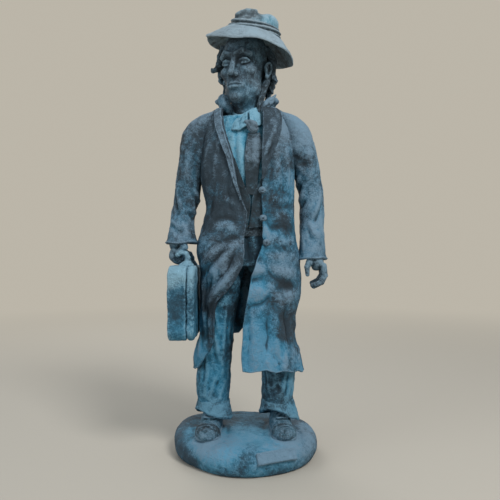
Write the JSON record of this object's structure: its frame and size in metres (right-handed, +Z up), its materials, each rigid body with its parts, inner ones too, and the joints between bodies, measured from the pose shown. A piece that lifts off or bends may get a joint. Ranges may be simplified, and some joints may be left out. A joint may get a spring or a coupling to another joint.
{
  "type": "papier-mache figure",
  "caption": "Papier-mache figure of a standing man in a soft hat and long open overcoat, holding a suitcase, on a round plinth with a blank tablet",
  "frame": {"origin": "centre of the round plinth's flat underside", "axes": "+Z up from the table to the hat; the figure faces -Y; its right hand, with the suitcase, is on the -X side"},
  "size_m": [0.1437, 0.1294, 0.3975],
  "materials": {
    "steel_wire": "drawn soft steel wire",
    "newspaper_padding": "crumpled newspaper bound with paste, unpainted",
    "plinth_paint": "matte verdigris over slate, dry-brushed pale",
    "coat_paint": "matte slate with verdigris wash and grey dry-brush",
    "shirt_paint": "matte bright verdigris",
    "dark_paint": "matte dark slate",
    "hat_paint": "matte slate, dry-brushed grey",
    "trouser_paint": "matte slate with strong verdigris wash",
    "case_paint": "matte verdigris, pale along the top"
  },
  "bodies": {
    "root": {"plinth": "plinth_paint", "name_tablet": "plinth_paint", "leg_wire_right": "steel_wire", "leg_wire_left": "steel_wire", "spine_wire": "steel_wire", "arm_wire_right": "steel_wire", "arm_wire_left": "steel_wire", "torso_core": "newspaper_padding", "leg_core_right": "newspaper_padding", "leg_core_left": "newspaper_padding", "arm_core_right": "newspaper_padding", "arm_core_left": "newspaper_padding", "shoe_right": "trouser_paint", "shoe_left": "trouser_paint", "sole_right": "trouser_paint", "sole_left": "trouser_paint", "toe_cap_right": "trouser_paint", "toe_cap_left": "trouser_paint", "trouser_seat": "trouser_paint", "waistband": "trouser_paint", "trouser_leg_right": "trouser_paint", "trouser_leg_left": "trouser_paint", "cuff_right": "trouser_paint", "cuff_left": "trouser_paint", "shirt_front": "shirt_paint", "shirt_collar": "shirt_paint", "tie_knot": "dark_paint", "tie_blade": "dark_paint", "waistcoat": "coat_paint", "coat_back": "coat_paint", "coat_front_right": "coat_paint", "coat_front_left": "coat_paint", "coat_collar": "coat_paint", "lapel_right": "coat_paint", "lapel_left": "coat_paint", "sleeve_right": "coat_paint", "sleeve_left": "coat_paint", "coat_buttons": "coat_paint", "hand_right": "dark_paint", "hand_left": "dark_paint", "head": "dark_paint", "ear_right": "dark_paint", "ear_left": "dark_paint", "hair_right": "dark_paint", "hair_left": "dark_paint", "hair_back": "dark_paint", "hat_crown": "hat_paint", "hat_brim": "hat_paint", "hat_band": "hat_paint", "case_tray": "case_paint", "case_lid": "case_paint", "case_handle": "dark_paint", "handle_lugs": "case_paint"}
  },
  "joints": []
}
